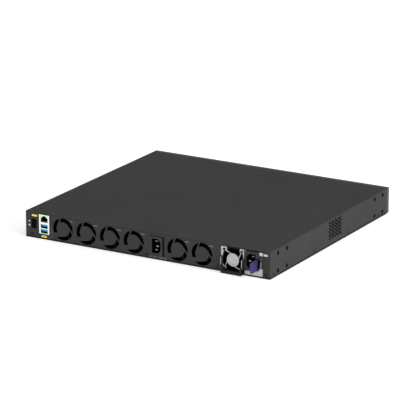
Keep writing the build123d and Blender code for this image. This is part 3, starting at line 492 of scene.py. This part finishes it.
def numeral(plane, text, place, height, width):
    """Seven-stroke numerals; place is the lower-left corner as it is read."""
    strokes = []
    for n, digit in enumerate(text):
        left = place[0] + n * width * DIGIT_STEP
        right = left + width
        low, mid, top = place[1], place[1] + height / 2, place[1] + height
        lines = {
            "a": ((left, top), (right, top)), "b": ((right, mid), (right, top)), "c": ((right, low), (right, mid)),
            "d": ((left, low), (right, low)), "e": ((left, low), (left, mid)), "f": ((left, mid), (left, top)),
            "g": ((left, mid), (right, mid)),
        }
        strokes += [stroke(plane, *lines[key], height * DIGIT_STROKE) for key in SEGMENTS[digit]]
    return strokes


# ------------------------------------------------------------------ rear panel: labels and printed marks
# Places here are (u, z) in mm: u along the panel from its left end, z up from the underside.
yellow = (((11.5, 20.9), (35.5, 38.4)), ((29.3, 38.8), (3.2, 6.1)))
slabs("yellow_labels", [rear_slab(u, z, LABEL) for u, z in yellow], YELLOW_LABEL, "chassis", LABEL_ROUND)
RULE_LONG, RULE_HIGH = 5.0, 0.3
rules = ((13.7, 37.3), (13.7, 36.3), (31.5, 5.0), (31.5, 4.0))
slabs("label_rules", [rear_slab((u, u + RULE_LONG), (z, z + RULE_HIGH), LABEL_RULE) for u, z in rules],
      ORANGE_INK, "chassis")
AMBER_WIDE = 0.45
amber = (((46.0, 21.5), (47.9, 21.5)), ((46.0, 13.0), (47.9, 13.0)), ((47.9, 13.0), (47.9, 21.5)),
         ((47.9, 17.0), (49.9, 17.0)), ((49.9, 4.2), (49.9, 17.0)), ((41.3, 4.2), (49.9, 4.2)))
slabs("port_bracket_lines", [stroke(rear_slab, a, b, AMBER_WIDE) for a, b in amber], AMBER_INK, "chassis")

# each fan's numeral and the dash before it, placed from the fan's middle
FAN_DIGIT_U, FAN_DIGIT_Z, FAN_DIGIT_H, FAN_DIGIT_W = 18.0, 36.0, 2.0, 1.1
FAN_DASH_U, FAN_DASH_Z = (13.0, 16.8), (36.7, 37.4)
marks = []
for n in range(1, 7):
    u = (HALF_W - middle(f"fan_frame_{n}").x) / MM
    marks += numeral(rear_slab, str(n), (u + FAN_DIGIT_U, FAN_DIGIT_Z), FAN_DIGIT_H, FAN_DIGIT_W)
    marks.append(rear_slab((u + FAN_DASH_U[0], u + FAN_DASH_U[1]), FAN_DASH_Z, PRINT))
slabs("fan_marks", marks, SOFT_INK, "chassis")

# dashes that stand for the small print under the fixed inlet, beside the bay and by the lamps
rating = ((228.4, 232.7), (234.8, 239.6), (242.0, 245.5), (247.0, 252.4), (254.5, 258.3))
slabs("rating_marks", [rear_slab(u, z, PRINT) for u in rating for z in ((2.9, 3.5), (4.3, 4.9))], GREY_INK, "chassis")
slabs("bay_marks", [rear_slab((428.9, 436.0), z, PRINT) for z in ((36.0, 37.3), (37.7, 38.9))], WHITE_INK, "chassis")
LAMP_DASH_HALF = 0.25
slabs("lamp_marks", [rear_slab(u, (z - LAMP_DASH_HALF, z + LAMP_DASH_HALF), PRINT)
                     for u in ((4.0, 5.0), (8.2, 9.0)) for z in (20.2, 26.8)], GREY_INK, "chassis")

# ------------------------------------------------------------------ power module's face
FACE = -(REAR_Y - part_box("module_case")[HIGH].y) / MM    # mm that the module's face stands out past the rear panel


def module_slab(u, z, out):
    """Box limits on the power module's face."""
    return rear_slab(u, z, FACE + out, INSET - FACE)


slabs("module_label", [module_slab((421.7, 426.9), (35.3, 40.1), LABEL)], WHITE_INK, "power_module", LABEL_ROUND)
slabs("module_label_rules", [module_slab((422.4, 426.2), (z, z + RULE_HIGH), LABEL_RULE) for z in (36.2, 37.4, 38.6)],
      DARK_INK, "power_module")
slabs("module_mark", [module_slab((422.9, 426.0), z, PRINT) for z in ((28.3, 28.8), (29.2, 29.7))],
      GREY_INK, "power_module")
SCREW_LIFT, SCREW_RADIUS_MM, SCREW_THICK_MM = 0.0003, 0.75, 0.8
screws = [Vector((place_u(u), REAR_Y + FACE * MM + SCREW_LIFT, z * MM)) for u, z in ((397.3, 40.0), (362.8, 38.6))]
studs("module_screws", screws, SCREW_RADIUS_MM, SCREW_THICK_MM, BRIGHT, "power_module")
guide = (((422.9, 424.9), (15.9, 25.0), 0.35), ((422.9, 425.4), (25.0, 25.6), 0.5))
slabs("latch_guide", [module_slab(*part) for part in guide], STEEL, "power_module", 0.1)
SEAM = 0.02
seams = (((422.5, 425.5), (26.2, 26.9)), ((425.4, 425.8), (17.0, 25.0)),
         ((425.4, 426.9), (15.6, 16.6)), ((421.0, 421.3), (29.2, 39.8)))
slabs("latch_seams", [module_slab(u, z, SEAM) for u, z in seams], GASKET, "power_module")

# bright cut edges on the outer faces of the fan guard's ears
EAR_EDGE_WIDE = 0.8    # mm
guard_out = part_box("module_guard")[HIGH].y
EAR_EDGE_Y = (guard_out - 0.0001, guard_out + 0.00008)    # sunk into the guard, and a hair proud of it
ears = ((357.3, 13.9, 17.2), (357.3, 19.8, 24.6), (393.7, 13.9, 24.6))    # u of the left side, bottom and top in mm
slabs("ear_edges", [((place_u(u + EAR_EDGE_WIDE), place_u(u)), EAR_EDGE_Y, (bottom * MM, top * MM))
                    for u, bottom, top in ears], BRIGHT, "power_module", 0.03)


def handle_edge_strip():
    """Black strip of painted shade along the sloping lower lip of the handle."""
    low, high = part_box("module_handle")
    # (y, z) corners in metres from the handle's outermost and lowest faces
    lip = ((-0.0017, 0.0), (0.0, 0.0020), (0.00012, 0.0019), (-0.00158, -0.0001))
    left, right = place_u(393.2), place_u(358.6)
    bm = bmesh.new()
    ends = [[bm.verts.new((x, high.y + y, low.z + z)) for y, z in lip] for x in (left, right)]
    bm.faces.new(ends[0])
    bm.faces.new(reversed(ends[1]))
    for n in range(len(lip)):
        after = (n + 1) % len(lip)
        bm.faces.new((ends[0][n], ends[1][n], ends[1][after], ends[0][after]))
    bmesh.ops.recalc_face_normals(bm, faces=bm.faces[:])
    add_piece("handle_edge_strip", bm, LIP_SHADE, "module_handle")


handle_edge_strip()

# ------------------------------------------------------------------ rear sockets: shield tabs, lip and contacts
TAB_HALF, TAB_OUT, LIP_OUT = 0.5, 0.15, 0.25    # mm
shield_out = (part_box("stack_shield")[HIGH].y - REAR_Y) / MM
slabs("shield_tabs", [rear_slab(u, (z - TAB_HALF, z + TAB_HALF), shield_out + TAB_OUT, 0.0)
                      for z in (12.0, 15.2, 20.2, 23.4) for u in ((25.9, 27.6), (41.9, 43.4))], SHIELD, "chassis", 0.12)
slabs("shield_lip", [rear_slab((28.4, 41.0), (9.3, 10.1), shield_out + LIP_OUT, 0.0)], STEEL, "chassis", 0.15)

# four contacts on the underside of each of the two USB tongues, in metres
PIN_PITCH, PIN_HALF, PIN_FROM, PIN_TO = 0.0025, 0.0006, 0.009, 0.001
PIN_BOTTOM, PIN_TOP, TONGUE_THICK = 0.0026, 0.00245, 0.0025
low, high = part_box("usb_tongues")
pins = []
for top in (low.z + TONGUE_THICK, high.z):
    for n in range(4):
        x = (low.x + high.x) / 2 + (n - 1.5) * PIN_PITCH
        pins.append(((x - PIN_HALF, x + PIN_HALF), (high.y - PIN_FROM, high.y - PIN_TO),
                     (top - PIN_BOTTOM, top - PIN_TOP)))
slabs("usb_pins", pins, BRASS, "chassis", 0.02)

# ------------------------------------------------------------------ front: port numbers, cage springs and rules
PITCH, PORT_H = 14.75, 8.9          # mm between columns of ports, and a port's height
LEVELS = ((20.2, 31.3), (7.0, 2.6))    # the underside of a row of ports and of its numbers, in mm
WIDE_PORT_IN, WIDE_NUMBER_Z = 10.2, 18.4
DIGIT_H, DIGIT_W = 1.7, 1.0
SPRING_Y = (FRONT_Y + 0.0012, FRONT_Y + 0.009)
SPRING_HALF, SPRING_IN, SPRING_OUT = 1.1, 0.35, 0.1    # mm: half width, reach into the port and into its cage


def port_number(port, x, z):
    """A port's number, centred on x."""
    text = str(port)
    wide = DIGIT_W * (DIGIT_STEP * (len(text) - 1) + 1)
    return numeral(front_slab, text, (x - wide / 2, z), DIGIT_H, DIGIT_W)


numbers, springs = [], []
port = 1
for cage in ("port_cage_right", "port_cage_left"):
    centre = middle(cage).x / MM
    for column in range(4):
        x = centre + (column - 1.5) * PITCH
        for level, number_z in LEVELS:
            numbers += port_number(port, x, number_z)
            port += 1
            for side in (-3.4, 0.0, 3.4):
                along = ((x + side - SPRING_HALF) * MM, (x + side + SPRING_HALF) * MM)
                for bottom, top in ((level + PORT_H - SPRING_IN, level + PORT_H + SPRING_OUT),
                                    (level - SPRING_OUT, level + SPRING_IN)):
                    springs.append((along, SPRING_Y, (bottom * MM, top * MM)))
low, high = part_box("wide_cages")
for n, x in enumerate((low.x / MM + WIDE_PORT_IN, high.x / MM - WIDE_PORT_IN)):
    numbers += port_number(port + n, x, WIDE_NUMBER_Z)
slabs("port_numbers", numbers, WHITE_INK, "chassis")
slabs("cage_springs", springs, FINGER, "chassis", 0.12)
slabs("reset_ring_marks", [front_slab(x, (13.7, 14.3), PRINT) for x in ((108.6, 109.6), (114.4, 115.4))],
      WHITE_INK, "chassis")
slabs("bezel_rule", [front_slab((-208.0, 208.0), (39.2, 39.5), PRINT)], GREY_INK, "chassis")

# ------------------------------------------------------------------ underside, in metres
LABEL_Z, RULE_Z, FOOT_Z = (-0.00008, 0.0003), (-0.00012, 0.0002), (-0.00006, 0.0002)
slabs("base_label", [((-0.045, 0.045), (0.05, 0.11), LABEL_Z)], WHITE_INK, "chassis", 0.03)
RULE_X, RULE_UNIT, RULE_Y, RULE_STEP = -0.040, 0.012, (0.056, 0.0575), 0.006
slabs("base_label_rules", [((RULE_X, RULE_X + RULE_UNIT * (3 + n % 4)),
                            (RULE_Y[0] + n * RULE_STEP, RULE_Y[1] + n * RULE_STEP), RULE_Z) for n in range(8)],
      DARK_INK, "chassis")
feet = [(x, y) for x in (-0.17, 0.17) for y in (-0.14, 0.16)]
crosses = [((x - half_x, x + half_x), (y - half_y, y + half_y), FOOT_Z)
           for half_x, half_y in ((0.004, 0.0007), (0.0007, 0.004)) for x, y in feet]
slabs("foot_place_marks", crosses, GREY_INK, "chassis")
